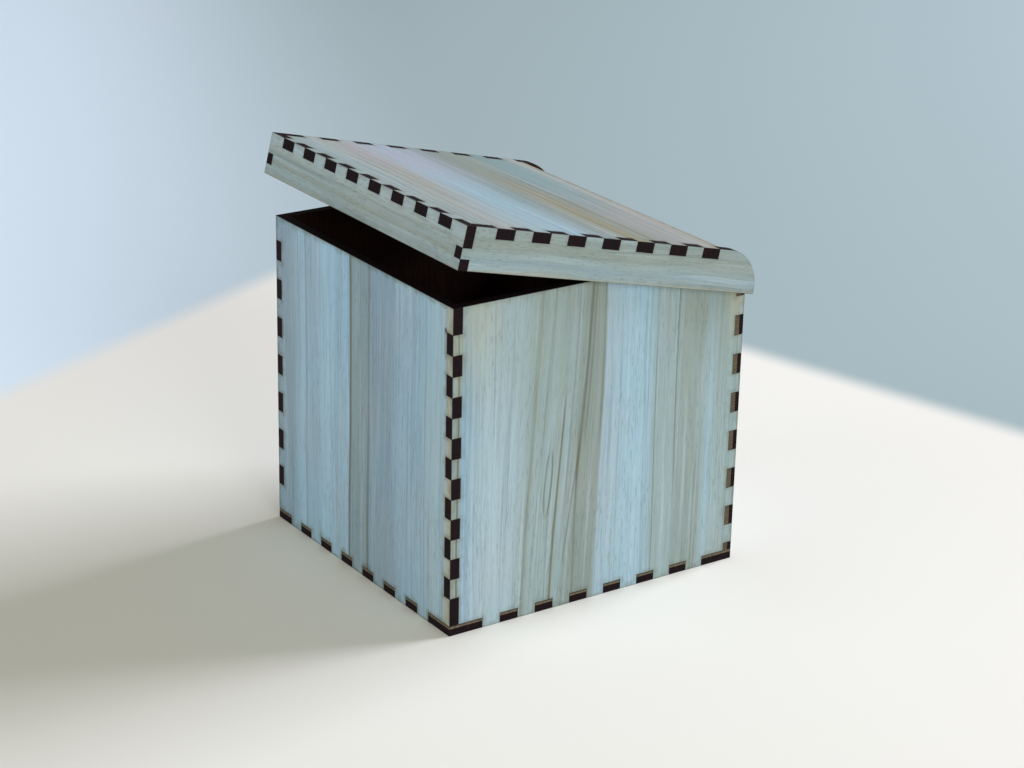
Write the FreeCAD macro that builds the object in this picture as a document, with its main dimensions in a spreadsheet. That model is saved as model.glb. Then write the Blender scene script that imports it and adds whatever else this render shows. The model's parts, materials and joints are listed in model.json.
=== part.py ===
import FreeCAD, Part
import os

import Sketcher

# Finger-jointed box of veneered board with an overlapping lid that swings on two hidden pegs.
# Frame: +Z up, +X to the right of the front wall, +Y to the back, origin at the centre of the underside.
# Every wall is drawn flat, as it is cut from the board, and then stood in its place.

doc = FreeCAD.newDocument("FingerJointedBox")

# Driving dimensions, in millimetres and degrees
SIZES = {
    "board": 3.0,               # thickness of every panel
    "box_width": 96.5,          # left to right over the side walls
    "box_depth": 100.0,         # front to back over the front and back walls
    "box_height": 97.0,         # underside to the rim
    "edge_tabs": 7,             # tabs along each lower edge and each upright corner
    "side_margin": 11.0,        # front or back face to the first tab along a side
    "right_margin": 11.0,       # right face to the first tab along the front and back
    "left_margin": 7.5,         # left face to the last tab along the front and back
    "base_margin": 11.4,        # underside to the first corner finger
    "rim_margin": 7.6,          # last corner finger to the rim, and the step down at the back
    "lid_height": 12.3,         # top of the lid to the lower edge of its walls
    "lid_front_tabs": 8,        # tabs of the lid's top through its front wall
    "lid_end_margin": 7.25,     # cheek's outer face to the first of those tabs
    "cheek_margin": 9.9,        # lid's front face to the first tab through a cheek
    "lid_rear_margin": 1.9,     # last of those tabs to the plain rear edge of the lid's top
    "lid_top_length": 89.8,     # lid's front face to that rear edge
    "cheek_round": 12.0,        # radius of a cheek's upper rear corner
    "side_gap": 1.0,            # box side to lid cheek
    "front_gap": 0.4,           # box front to lid front wall, lid closed
    "closing_gap": 0.3,         # rim to the lid's top panel, lid closed
    "rear_overhang": 0.7,       # cheek's rear end past the back wall, lid closed
    "hinge_inset": 13.8,        # back face to the hinge axis
    "hinge_drop": 6.5,          # rim to the hinge axis, and the radius of the rim's rear end
    "peg_diameter": 5.0,        # hinge peg
    "peg_clearance": 0.05,      # radial, peg to its hole
    "rest_angle": 13.6,         # how far the lid stands open
}

sheet = doc.addObject("Spreadsheet::Sheet", "Sizes")
for row, (alias, value) in enumerate(SIZES.items(), 1):
    sheet.set(f"A{row}", alias)
    sheet.set(f"B{row}", str(value))
    sheet.setAlias(f"B{row}", alias)
doc.recompute()

# Sizes that follow from the sheet
BOARD = "Sizes.board"
WIDTH = "Sizes.box_width"
DEPTH = "Sizes.box_depth"
HEIGHT = "Sizes.box_height"
RUNS = "(2 * Sizes.edge_tabs - 1)"
SIDE_FINGER = f"(({DEPTH} - 2 * Sizes.side_margin) / {RUNS})"
FRONT_FINGER = f"(({WIDTH} - Sizes.left_margin - Sizes.right_margin) / {RUNS})"
CORNER_FINGER = f"(({HEIGHT} - Sizes.base_margin - Sizes.rim_margin) / {RUNS})"
STEP_HEIGHT = f"({HEIGHT} - Sizes.rim_margin)"

LID_WIDTH = f"({WIDTH} + 2 * Sizes.side_gap + 2 * {BOARD})"
LID_LENGTH = f"({BOARD} + Sizes.front_gap + {DEPTH} + Sizes.rear_overhang)"
LID_FRONT_RUNS = "(2 * Sizes.lid_front_tabs - 1)"
LID_FRONT_FINGER = f"(({LID_WIDTH} - 2 * Sizes.lid_end_margin) / {LID_FRONT_RUNS})"
CHEEK_FINGER = f"((Sizes.lid_top_length - Sizes.lid_rear_margin - Sizes.cheek_margin) / {RUNS})"
LID_CORNER_FINGER = f"((Sizes.lid_height - {BOARD}) / 3)"
LID_FRONT_Y = f"(-{DEPTH} / 2 - Sizes.front_gap - {BOARD})"
LID_TOP_Z = f"({HEIGHT} + Sizes.closing_gap)"
LID_LOWER_Z = f"({LID_TOP_Z} + {BOARD} - Sizes.lid_height)"

HINGE_Y = f"({DEPTH} / 2 - Sizes.hinge_inset)"
HINGE_Z = f"({HEIGHT} - Sizes.hinge_drop)"
HOLE_RADIUS = "(Sizes.peg_diameter / 2 + Sizes.peg_clearance)"

# How a flat panel is turned to its place
FLAT = "create(<<rotation>>; create(<<vector>>; 0; 0; 1); 0)"
FACING_FRONT = "create(<<rotation>>; create(<<vector>>; 1; 0; 0); 90)"
FACING_SIDE = "create(<<rotation>>; create(<<vector>>; 1; 1; 1); 120)"


def flat_sketch(body, name):
    """An empty sketch on the panel's own ground plane."""
    sketch = body.newObject("Sketcher::SketchObject", name)
    ground = next(plane for plane in body.Origin.OriginFeatures if plane.Role == "XY_Plane")
    sketch.AttachmentSupport = [(ground, "")]
    sketch.MapMode = "FlatFace"
    return sketch


def dimension(sketch, name, kind, places, size):
    """A named dimension of the sketch that follows the sheet."""
    index = sketch.addConstraint(Sketcher.Constraint(kind, *places, 1.0))
    sketch.renameConstraint(index, name)
    sketch.setExpression(f"Constraints.{name}", size)


def closed_outline(sketch, corners):
    """A closed run of straight lines, with each corner dimensioned from the panel's lower left."""
    first = sketch.GeometryCount
    count = len(corners)
    for k in range(count):
        start = FreeCAD.Vector(k, k * k, 0)
        end = FreeCAD.Vector((k + 1) % count, ((k + 1) % count) ** 2, 0)
        sketch.addGeometry(Part.LineSegment(start, end), False)
    for k in range(count):
        sketch.addConstraint(Sketcher.Constraint("Coincident", first + k, 2, first + (k + 1) % count, 1))
    for k, (x, y) in enumerate(corners):
        dimension(sketch, f"x{first + k}", "DistanceX", (-1, 1, first + k, 1), x)
        dimension(sketch, f"y{first + k}", "DistanceY", (-1, 1, first + k, 1), y)


def rectangle(sketch, x, y, width, height):
    """An upright rectangle, from its lower left corner."""
    right = f"{x} + {width}"
    upper = f"{y} + {height}"
    closed_outline(sketch, [(x, y), (right, y), (right, upper), (x, upper)])


def padded(body, sketch, name):
    """The sketch raised to the board's thickness."""
    pad = body.newObject("PartDesign::Pad", name)
    pad.Profile = sketch
    pad.setExpression("Length", BOARD)
    doc.recompute()
    return pad


def pocketed(body, sketch, name):
    """The sketch cut right through the board."""
    pocket = body.newObject("PartDesign::Pocket", name)
    pocket.Profile = sketch
    pocket.Type = "ThroughAll"
    pocket.Midplane = True
    doc.recompute()
    return pocket


def repeated(body, feature, sketch, axis, count, pitch):
    """A row of copies of a tab or notch along the sketch's axis."""
    row = body.newObject("PartDesign::LinearPattern", f"{feature.Name}_row")
    row.Originals = [feature]
    row.Direction = (sketch, [axis])
    row.setExpression("Length", f"({count} - 1) * {pitch}")
    row.setExpression("Occurrences", count)
    body.Tip = row
    doc.recompute()


def tab_row(body, name, rectangles, axis, count, pitch):
    """Tabs that stand out of the panel's edge."""
    sketch = flat_sketch(body, f"{name}_sketch")
    for tab in rectangles:
        rectangle(sketch, *tab)
    repeated(body, padded(body, sketch, name), sketch, axis, count, pitch)


def notch_row(body, name, rectangles, axis, count, pitch):
    """Notches in the panel's edge that another panel's tabs fill."""
    sketch = flat_sketch(body, f"{name}_sketch")
    for notch in rectangles:
        rectangle(sketch, *notch)
    repeated(body, pocketed(body, sketch, name), sketch, axis, count, pitch)


def new_panel(label):
    """An empty body for one flat panel."""
    body = doc.addObject("PartDesign::Body", label)
    body.Label = label
    return body


def place(body, x, y, z, turn):
    """Stand a panel of the box in its place."""
    body.setExpression("Placement", f"create(<<placement>>; create(<<vector>>; {x}; {y}; {z}); {turn})")


def place_on_lid(body, x, y, z, turn):
    """Stand a panel in its place on the closed lid, then swing it open about the hinge axis."""
    swing = "create(<<rotation>>; create(<<vector>>; 1; 0; 0); -Sizes.rest_angle)"
    hinge = f"create(<<placement>>; create(<<vector>>; 0; {HINGE_Y}; {HINGE_Z}); {swing})"
    offset = f"create(<<vector>>; {x}; {y} - {HINGE_Y}; {z} - {HINGE_Z})"
    body.setExpression("Placement", f"{hinge} * create(<<placement>>; {offset}; {turn})")


# Front wall: it owns both ends of each upright corner, and its tabs go down into the bottom panel.
def make_front_wall():
    body = new_panel("front_wall")
    outline = flat_sketch(body, "front_wall_outline")
    rectangle(outline, "0", BOARD, WIDTH, f"{HEIGHT} - {BOARD}")
    padded(body, outline, "front_wall_board")
    far_edge = f"{WIDTH} - {BOARD}"
    corner_notches = [(x, "Sizes.base_margin", BOARD, CORNER_FINGER) for x in ("0", far_edge)]
    notch_row(body, "front_wall_notch", corner_notches, "V_Axis", "Sizes.edge_tabs", f"2 * {CORNER_FINGER}")
    lower_tab = [("Sizes.left_margin", "0", FRONT_FINGER, BOARD)]
    tab_row(body, "front_wall_tab", lower_tab, "H_Axis", "Sizes.edge_tabs", f"2 * {FRONT_FINGER}")
    place(body, f"-{WIDTH} / 2", f"-{DEPTH} / 2 + {BOARD}", "0", FACING_FRONT)
    return body


# Back wall: lower than the rim, so that the lid's top can swing down behind it, and with its
# corner fingers at the heights where the front wall has its notches.
def make_back_wall():
    body = new_panel("back_wall")
    outline = flat_sketch(body, "back_wall_outline")
    rectangle(outline, "0", BOARD, WIDTH, f"{STEP_HEIGHT} - {BOARD}")
    padded(body, outline, "back_wall_board")
    far_edge = f"{WIDTH} - {BOARD}"
    lowest_notch = f"Sizes.base_margin - {CORNER_FINGER}"
    corner_notches = [(x, lowest_notch, BOARD, CORNER_FINGER) for x in ("0", far_edge)]
    notch_row(body, "back_wall_notch", corner_notches, "V_Axis", "Sizes.edge_tabs", f"2 * {CORNER_FINGER}")
    lower_tab = [("Sizes.left_margin", "0", FRONT_FINGER, BOARD)]
    tab_row(body, "back_wall_tab", lower_tab, "H_Axis", "Sizes.edge_tabs", f"2 * {FRONT_FINGER}")
    place(body, f"-{WIDTH} / 2", f"{DEPTH} / 2", "0", FACING_FRONT)
    return body


# Side walls: the rim runs level from the front and ends in a round ear about the hinge axis,
# with the hole for the lid's peg, and then steps down to the back wall.
def make_side_wall(label, x):
    body = new_panel(label)
    hinge_u = f"({DEPTH} - Sizes.hinge_inset)"
    rear = f"{DEPTH} - {BOARD}"
    outline = flat_sketch(body, f"{label}_outline")
    closed_outline(outline, [
        (BOARD, BOARD), (rear, BOARD), (rear, STEP_HEIGHT),
        (hinge_u, STEP_HEIGHT), (hinge_u, HEIGHT), (BOARD, HEIGHT),
    ])
    padded(body, outline, f"{label}_board")
    ear = flat_sketch(body, f"{label}_ear_sketch")
    hinge_circle(ear, hinge_u, "Sizes.hinge_drop")
    padded(body, ear, f"{label}_ear")
    front_finger = [("0", "Sizes.base_margin", BOARD, CORNER_FINGER)]
    tab_row(body, f"{label}_front_finger", front_finger, "V_Axis", "Sizes.edge_tabs", f"2 * {CORNER_FINGER}")
    rear_finger = [(rear, f"Sizes.base_margin - {CORNER_FINGER}", BOARD, CORNER_FINGER)]
    tab_row(body, f"{label}_rear_finger", rear_finger, "V_Axis", "Sizes.edge_tabs", f"2 * {CORNER_FINGER}")
    lower_tab = [("Sizes.side_margin", "0", SIDE_FINGER, BOARD)]
    tab_row(body, f"{label}_tab", lower_tab, "H_Axis", "Sizes.edge_tabs", f"2 * {SIDE_FINGER}")
    hole = flat_sketch(body, f"{label}_hole_sketch")
    hinge_circle(hole, hinge_u, HOLE_RADIUS)
    pocketed(body, hole, f"{label}_hole")
    place(body, x, f"-{DEPTH} / 2", "0", FACING_SIDE)
    return body


def hinge_circle(sketch, hinge_u, radius):
    """A circle about the hinge axis on a side wall."""
    centre = FreeCAD.Vector(SIZES["box_depth"], SIZES["box_height"], 0)
    circle = sketch.addGeometry(Part.Circle(centre, FreeCAD.Vector(0, 0, 1), 1.0), False)
    dimension(sketch, "reach", "DistanceX", (-1, 1, circle, 3), hinge_u)
    dimension(sketch, "level", "DistanceY", (-1, 1, circle, 3), HINGE_Z)
    dimension(sketch, "radius", "Radius", (circle,), radius)


# Bottom panel: it reaches all four corners and is notched for the tabs of the four walls.
def make_bottom_panel():
    body = new_panel("bottom_panel")
    outline = flat_sketch(body, "bottom_outline")
    rectangle(outline, "0", "0", WIDTH, DEPTH)
    padded(body, outline, "bottom_board")
    end_notches = [("Sizes.left_margin", y, FRONT_FINGER, BOARD) for y in ("0", f"{DEPTH} - {BOARD}")]
    notch_row(body, "bottom_end_notch", end_notches, "H_Axis", "Sizes.edge_tabs", f"2 * {FRONT_FINGER}")
    side_notches = [(x, "Sizes.side_margin", BOARD, SIDE_FINGER) for x in ("0", f"{WIDTH} - {BOARD}")]
    notch_row(body, "bottom_side_notch", side_notches, "V_Axis", "Sizes.edge_tabs", f"2 * {SIDE_FINGER}")
    place(body, f"-{WIDTH} / 2", f"-{DEPTH} / 2", "0", FLAT)
    return body


# Lid top: tabs through the lid's front wall and both cheeks, and a plain rear edge.
def make_lid_top():
    body = new_panel("lid_top")
    outline = flat_sketch(body, "lid_top_outline")
    rectangle(outline, BOARD, BOARD, f"{LID_WIDTH} - 2 * {BOARD}", f"Sizes.lid_top_length - {BOARD}")
    padded(body, outline, "lid_top_board")
    front_tab = [("Sizes.lid_end_margin", "0", LID_FRONT_FINGER, BOARD)]
    tab_row(body, "lid_top_front_tab", front_tab, "H_Axis", "Sizes.lid_front_tabs", f"2 * {LID_FRONT_FINGER}")
    side_tabs = [(x, "Sizes.cheek_margin", BOARD, CHEEK_FINGER) for x in ("0", f"{LID_WIDTH} - {BOARD}")]
    tab_row(body, "lid_top_side_tab", side_tabs, "V_Axis", "Sizes.edge_tabs", f"2 * {CHEEK_FINGER}")
    place_on_lid(body, f"-{LID_WIDTH} / 2", LID_FRONT_Y, LID_TOP_Z, FLAT)
    return body


# Lid front wall: notched above for the tabs of the top, and at each end for one finger of a cheek.
def make_lid_front():
    body = new_panel("lid_front")
    outline = flat_sketch(body, "lid_front_outline")
    rectangle(outline, "0", "0", LID_WIDTH, "Sizes.lid_height")
    padded(body, outline, "lid_front_board")
    upper_notch = [("Sizes.lid_end_margin", f"Sizes.lid_height - {BOARD}", LID_FRONT_FINGER, BOARD)]
    notch_row(body, "lid_front_notch", upper_notch, "H_Axis", "Sizes.lid_front_tabs", f"2 * {LID_FRONT_FINGER}")
    ends = flat_sketch(body, "lid_front_ends_sketch")
    for x in ("0", f"{LID_WIDTH} - {BOARD}"):
        rectangle(ends, x, LID_CORNER_FINGER, BOARD, LID_CORNER_FINGER)
    pocketed(body, ends, "lid_front_ends")
    place_on_lid(body, f"-{LID_WIDTH} / 2", f"{LID_FRONT_Y} + {BOARD}", LID_LOWER_Z, FACING_FRONT)
    return body


# Lid cheeks: they hang outside the box's sides, with a round upper corner behind the lid's top.
def make_lid_cheek(label, x):
    body = new_panel(label)
    outline = flat_sketch(body, f"{label}_outline")
    cheek_outline(outline)
    padded(body, outline, f"{label}_board")
    finger = flat_sketch(body, f"{label}_finger_sketch")
    rectangle(finger, "0", LID_CORNER_FINGER, BOARD, LID_CORNER_FINGER)
    padded(body, finger, f"{label}_finger")
    upper_notch = [("Sizes.cheek_margin", f"Sizes.lid_height - {BOARD}", CHEEK_FINGER, BOARD)]
    notch_row(body, f"{label}_notch", upper_notch, "H_Axis", "Sizes.edge_tabs", f"2 * {CHEEK_FINGER}")
    place_on_lid(body, x, LID_FRONT_Y, LID_LOWER_Z, FACING_SIDE)
    return body


def cheek_outline(sketch):
    """A long low panel whose upper rear corner is an arc that runs smoothly into both edges."""
    length = SIZES["box_depth"]
    height = SIZES["lid_height"]
    radius = SIZES["cheek_round"]
    centre = FreeCAD.Vector(length - radius, height - radius, 0)
    corners = [(0, 0), (length, 0), (length, height - radius), (length - radius, height), (0, height)]
    points = [FreeCAD.Vector(x, y, 0) for x, y in corners]
    lower = sketch.addGeometry(Part.LineSegment(points[0], points[1]), False)
    rear = sketch.addGeometry(Part.LineSegment(points[1], points[2]), False)
    quarter_turn = 1.5707963267948966
    circle = Part.Circle(centre, FreeCAD.Vector(0, 0, 1), radius)
    arc = sketch.addGeometry(Part.ArcOfCircle(circle, 0, quarter_turn), False)
    upper = sketch.addGeometry(Part.LineSegment(points[3], points[4]), False)
    front = sketch.addGeometry(Part.LineSegment(points[4], points[0]), False)
    sketch.addConstraint(Sketcher.Constraint("Coincident", lower, 2, rear, 1))
    sketch.addConstraint(Sketcher.Constraint("Tangent", rear, 2, arc, 1))
    sketch.addConstraint(Sketcher.Constraint("Tangent", arc, 2, upper, 1))
    sketch.addConstraint(Sketcher.Constraint("Coincident", upper, 2, front, 1))
    sketch.addConstraint(Sketcher.Constraint("Coincident", front, 2, lower, 1))
    for line in (lower, upper):
        sketch.addConstraint(Sketcher.Constraint("Horizontal", line))
    for line in (rear, front):
        sketch.addConstraint(Sketcher.Constraint("Vertical", line))
    dimension(sketch, "start", "DistanceX", (-1, 1, lower, 1), BOARD)
    dimension(sketch, "foot", "DistanceY", (-1, 1, lower, 1), "0")
    dimension(sketch, "length", "DistanceX", (-1, 1, lower, 2), LID_LENGTH)
    dimension(sketch, "height", "DistanceY", (-1, 1, upper, 2), "Sizes.lid_height")
    dimension(sketch, "round", "Radius", (arc,), "Sizes.cheek_round")


# Hinge pegs: short dowels glued inside the cheeks, flush with the side walls' inner faces.
def make_hinge_peg(label, x):
    peg = doc.addObject("Part::Cylinder", label)
    peg.Label = label
    peg.setExpression("Radius", "Sizes.peg_diameter / 2")
    peg.setExpression("Height", f"Sizes.side_gap + {BOARD}")
    across = "create(<<rotation>>; create(<<vector>>; 0; 1; 0); 90)"
    place_on_lid(peg, x, HINGE_Y, HINGE_Z, across)
    return peg


pieces = [
    make_front_wall(),
    make_back_wall(),
    make_side_wall("left_wall", f"-{WIDTH} / 2"),
    make_side_wall("right_wall", f"{WIDTH} / 2 - {BOARD}"),
    make_bottom_panel(),
    make_lid_top(),
    make_lid_front(),
    make_lid_cheek("lid_left_cheek", f"-{LID_WIDTH} / 2"),
    make_lid_cheek("lid_right_cheek", f"{LID_WIDTH} / 2 - {BOARD}"),
    make_hinge_peg("hinge_peg_left", f"-{WIDTH} / 2 - Sizes.side_gap"),
    make_hinge_peg("hinge_peg_right", f"{WIDTH} / 2 - {BOARD}"),
]
doc.recompute()

for item in doc.Objects:
    if "Invalid" in item.State or "Error" in item.State:
        raise RuntimeError(f"{item.Name} could not be built: {item.State}")
for piece in pieces:
    if piece.Shape.isNull() or not piece.Shape.isValid() or len(piece.Shape.Solids) != 1:
        raise RuntimeError(f"{piece.Label} is not one valid solid")

os.makedirs("parts", exist_ok=True)
for piece in pieces:
    piece.Shape.exportStep(f"parts/{piece.Label}.step")
    print(piece.Label, round(piece.Shape.Volume, 1), piece.Shape.BoundBox)
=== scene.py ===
import json
import math

import bmesh
import bpy
from mathutils import Matrix, Vector

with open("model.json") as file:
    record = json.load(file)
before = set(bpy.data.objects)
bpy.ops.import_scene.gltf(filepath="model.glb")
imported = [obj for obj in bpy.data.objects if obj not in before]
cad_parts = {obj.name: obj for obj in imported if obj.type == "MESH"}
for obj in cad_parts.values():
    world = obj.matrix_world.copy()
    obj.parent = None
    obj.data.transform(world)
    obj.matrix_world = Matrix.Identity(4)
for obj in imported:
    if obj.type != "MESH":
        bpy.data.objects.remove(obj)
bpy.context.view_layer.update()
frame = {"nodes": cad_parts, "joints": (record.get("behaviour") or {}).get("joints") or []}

# Tabletop: a plain pale surface under the box, cream white and dull, that ends in two straight
# edges behind it. Beyond them the same floor takes the cool pale grey of a plain wall, which is
# lighter toward the left.


def paint(red, green, blue):
    """A colour given as it looks on a screen, 0 to 255, turned into light."""
    steps = [channel / 255 for channel in (red, green, blue)]
    light = [s / 12.92 if s <= 0.04045 else ((s + 0.055) / 1.055) ** 2.4 for s in steps]
    return (*light, 1.0)


def feed(tree, socket, value):
    """Give an input another node's output, or a number of its own."""
    if isinstance(value, bpy.types.NodeSocket):
        tree.links.new(value, socket)
    else:
        socket.default_value = value


def reckon(tree, operation, *values):
    """One step of arithmetic on the surface."""
    node = tree.nodes.new("ShaderNodeMath")
    node.operation = operation
    for socket, value in zip(node.inputs, values):
        feed(tree, socket, value)
    return node.outputs[0]


def ease(tree, value, low, high, at_low=0.0, at_high=1.0):
    """A soft change from one level to another as the value goes from low to high."""
    node = tree.nodes.new("ShaderNodeMapRange")
    node.interpolation_type = "SMOOTHSTEP"
    names = ("Value", "From Min", "From Max", "To Min", "To Max")
    for name, number in zip(names, (value, low, high, at_low, at_high)):
        feed(tree, node.inputs[name], number)
    return node.outputs[0]


def layer(tree, share, under, over, mode="MIX"):
    """One colour laid over another by a share."""
    node = tree.nodes.new("ShaderNodeMix")
    node.data_type = "RGBA"
    node.blend_type = mode
    feed(tree, node.inputs["Factor"], share)
    feed(tree, node.inputs[6], under)
    feed(tree, node.inputs[7], over)
    return node.outputs[2]


def new_material(name):
    """An empty node material: its tree, its shader and its object coordinates."""
    material = bpy.data.materials.new(name)
    material.use_nodes = True
    tree = material.node_tree
    return material, tree, tree.nodes["Principled BSDF"], tree.nodes.new("ShaderNodeTexCoord").outputs


def along_way(tree, place, way):
    """How far a place lies along a way."""
    node = tree.nodes.new("ShaderNodeVectorMath")
    node.operation = "DOT_PRODUCT"
    feed(tree, node.inputs[0], place)
    node.inputs[1].default_value = way
    return node.outputs["Value"]


FLOOR_SIZE = 6.0
TABLE_CREAM = paint(251, 246, 229)
WALL_NEAR_LEFT = paint(238, 252, 255)
WALL_NEAR_RIGHT = paint(170, 186, 182)
WALL_FADES_FROM = -0.3
WALL_FADES_TO = 0.08
TABLE_CORNER = Vector((-0.277, 0.118, 0.0))
LEFT_EDGE_OUTWARD = Vector((-0.912, -0.41, 0.0))
REAR_EDGE_OUTWARD = Vector((-0.255, 0.967, 0.0))
LEFT_EDGE = TABLE_CORNER.dot(LEFT_EDGE_OUTWARD)
REAR_EDGE = TABLE_CORNER.dot(REAR_EDGE_OUTWARD)
EDGE_SOFTNESS = 0.008
FLOOR_ROUGHNESS = 0.65
FLOOR_SHEEN = 0.2
floor_mesh = bpy.data.meshes.new("floor")
shape = bmesh.new()
bmesh.ops.create_grid(shape, x_segments=1, y_segments=1, size=FLOOR_SIZE)
shape.to_mesh(floor_mesh)
shape.free()
floor = bpy.data.objects.new("floor", floor_mesh)
bpy.context.scene.collection.objects.link(floor)
floor_paint, tree, shader, coordinates = new_material("floor paint")
past_left = along_way(tree, coordinates["Object"], LEFT_EDGE_OUTWARD)
past_rear = along_way(tree, coordinates["Object"], REAR_EDGE_OUTWARD)
off_left = ease(tree, past_left, LEFT_EDGE - EDGE_SOFTNESS, LEFT_EDGE + EDGE_SOFTNESS)
off_rear = ease(tree, past_rear, REAR_EDGE - EDGE_SOFTNESS, REAR_EDGE + EDGE_SOFTNESS)
along_wall = reckon(tree, "SUBTRACT", past_rear, past_left)
to_right = ease(tree, along_wall, WALL_FADES_FROM, WALL_FADES_TO)
wall = layer(tree, to_right, WALL_NEAR_LEFT, WALL_NEAR_RIGHT)
floor_colour = layer(tree, reckon(tree, "MAXIMUM", off_left, off_rear), TABLE_CREAM, wall)
feed(tree, shader.inputs["Base Color"], floor_colour)
shader.inputs["Roughness"].default_value = FLOOR_ROUGHNESS
shader.inputs["Specular IOR Level"].default_value = FLOOR_SHEEN
floor_mesh.materials.append(floor_paint)

# Bottom panel: 3 mm board that closes the box from below, its good face up. Like every panel it is
# cut by a laser out of board with a pale streaked veneer on its good face and dark fibreboard behind,
# and its tabs sit in notches along the walls' lower edges, where their burnt ends show.
MM = 0.001
BOARD = 3.0
BOX_WIDTH = 96.5
BOX_DEPTH = 100.0
FINGER = 6.0
LAST_FINGER = 6
FIRST_ALONG_FRONT = 10.5
FIRST_ALONG_SIDE = 14.0
NOTCH = 1.0
TAB = -1.0
UPPER_SIDE = 1
LOWER_SIDE = -1


def new_group(name, takes, gives):
    """An empty shader node group. takes and gives name its sockets and their kinds."""
    tree = bpy.data.node_groups.new(name, "ShaderNodeTree")
    for label, kind in takes.items():
        tree.interface.new_socket(name=label, in_out="INPUT", socket_type=f"NodeSocket{kind}")
    for label, kind in gives.items():
        tree.interface.new_socket(name=label, in_out="OUTPUT", socket_type=f"NodeSocket{kind}")
    return tree, tree.nodes.new("NodeGroupInput").outputs, tree.nodes.new("NodeGroupOutput").inputs


def use_group(tree, group, **values):
    """Place a group in a material with its own values, and return its outputs."""
    node = tree.nodes.new("ShaderNodeGroup")
    node.node_tree = group
    for label, value in values.items():
        feed(tree, node.inputs[label.replace("_", " ")], value)
    return node.outputs


def stretched(tree, place, factors):
    """A place scaled by its own factor each way."""
    node = tree.nodes.new("ShaderNodeVectorMath")
    node.operation = "MULTIPLY"
    feed(tree, node.inputs[0], place)
    node.inputs[1].default_value = factors
    return node.outputs[0]


def speckle(tree, place, detail=2.0, roughness=0.5):
    """Smooth random unevenness, about one lump to each unit of the place."""
    node = tree.nodes.new("ShaderNodeTexNoise")
    feed(tree, node.inputs["Vector"], place)
    node.inputs["Scale"].default_value = 1.0
    node.inputs["Detail"].default_value = detail
    node.inputs["Roughness"].default_value = roughness
    return node.outputs[0]


def streaks(tree, across, along, seed, across_per_mm, along_per_mm, detail=1.0):
    """Random unevenness drawn out along the grain."""
    place = tree.nodes.new("ShaderNodeCombineXYZ")
    feed(tree, place.inputs[0], reckon(tree, "MULTIPLY", across, across_per_mm))
    feed(tree, place.inputs[1], reckon(tree, "MULTIPLY", along, along_per_mm))
    feed(tree, place.inputs[2], seed)
    return speckle(tree, place.outputs[0], detail)


# Grain of the veneer, in millimetres across and along it: where each growth line lies once it has
# drifted and leaned, long lines, short broken pores, pale streaks, and a slow change of hue. Each kind
# has its own step of the seed and its own count of streaks to the millimetre.
MID_LENGTH = 48.0
MID_LEVEL = 0.5
LEAST_LINES = 0.25
HAIR_SHARE = 0.55
LEAST_PORES = 0.45
HUE_SEED_STEP = 33.1
grain, given, made = new_group(
    "veneer grain",
    {"Across": "Float", "Along": "Float", "Seed": "Float", "Lean": "Float", "Lean centre": "Float",
     "Lean reach": "Float", "Wave": "Float", "Fray": "Float"},
    {"Line place": "Float", "Band place": "Float", "Lines": "Float", "Pores": "Float", "Pale": "Float",
     "Hue": "Float"},
)
across_grain, along_grain, grain_seed = given["Across"], given["Along"], given["Seed"]
off_centre = reckon(grain, "SUBTRACT", across_grain, given["Lean centre"])
off_centre = reckon(grain, "DIVIDE", off_centre, given["Lean reach"])
lean_share = reckon(grain, "SUBTRACT", 1.0, reckon(grain, "MULTIPLY", off_centre, off_centre))
lean_share = reckon(grain, "MAXIMUM", lean_share, 0.0)
leaning = reckon(grain, "SUBTRACT", along_grain, MID_LENGTH)
leaning = reckon(grain, "MULTIPLY", leaning, given["Lean"])
leaning = reckon(grain, "MULTIPLY", leaning, lean_share)
drift = streaks(grain, across_grain, along_grain, grain_seed, across_per_mm=0.04, along_per_mm=0.02)
drift = reckon(grain, "SUBTRACT", drift, MID_LEVEL)
drift = reckon(grain, "MULTIPLY", drift, given["Wave"])
line_place = reckon(grain, "ADD", reckon(grain, "SUBTRACT", across_grain, leaning), drift)


def line_streaks(seed_step, across_per_mm, along_per_mm, detail=1.0):
    """Streaks of one kind that follow the growth lines."""
    own_seed = reckon(grain, "ADD", grain_seed, seed_step)
    return streaks(grain, line_place, along_grain, own_seed, across_per_mm, along_per_mm, detail)


fray = line_streaks(seed_step=0.0, across_per_mm=1.3, along_per_mm=0.03, detail=3.0)
fray = reckon(grain, "SUBTRACT", fray, MID_LEVEL)
crowding = line_streaks(seed_step=4.7, across_per_mm=0.16, along_per_mm=0.012)
crowding = ease(grain, crowding, low=0.35, high=0.65, at_low=LEAST_LINES)
long_lines = line_streaks(seed_step=0.0, across_per_mm=0.95, along_per_mm=0.011)
long_lines = ease(grain, long_lines, low=0.52, high=0.66)
long_lines = reckon(grain, "MULTIPLY", long_lines, crowding)
hair_lines = line_streaks(seed_step=9.1, across_per_mm=1.8, along_per_mm=0.05)
hair_lines = ease(grain, hair_lines, low=0.48, high=0.66)
pores = line_streaks(seed_step=15.3, across_per_mm=3.0, along_per_mm=0.3)
pores = ease(grain, pores, low=0.55, high=0.7)
pore_crowding = line_streaks(seed_step=21.9, across_per_mm=0.09, along_per_mm=0.03)
pore_crowding = ease(grain, pore_crowding, low=0.36, high=0.62, at_low=LEAST_PORES)
pale = line_streaks(seed_step=27.7, across_per_mm=0.62, along_per_mm=0.014, detail=2.0)
pale = ease(grain, pale, low=0.5, high=0.72)
hue_seed = reckon(grain, "ADD", grain_seed, HUE_SEED_STEP)
hue = streaks(grain, across_grain, along_grain, hue_seed, across_per_mm=0.05, along_per_mm=0.022, detail=2.0)
feed(grain, made["Line place"], line_place)
feed(grain, made["Band place"], reckon(grain, "MULTIPLY_ADD", fray, given["Fray"], line_place))
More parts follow.
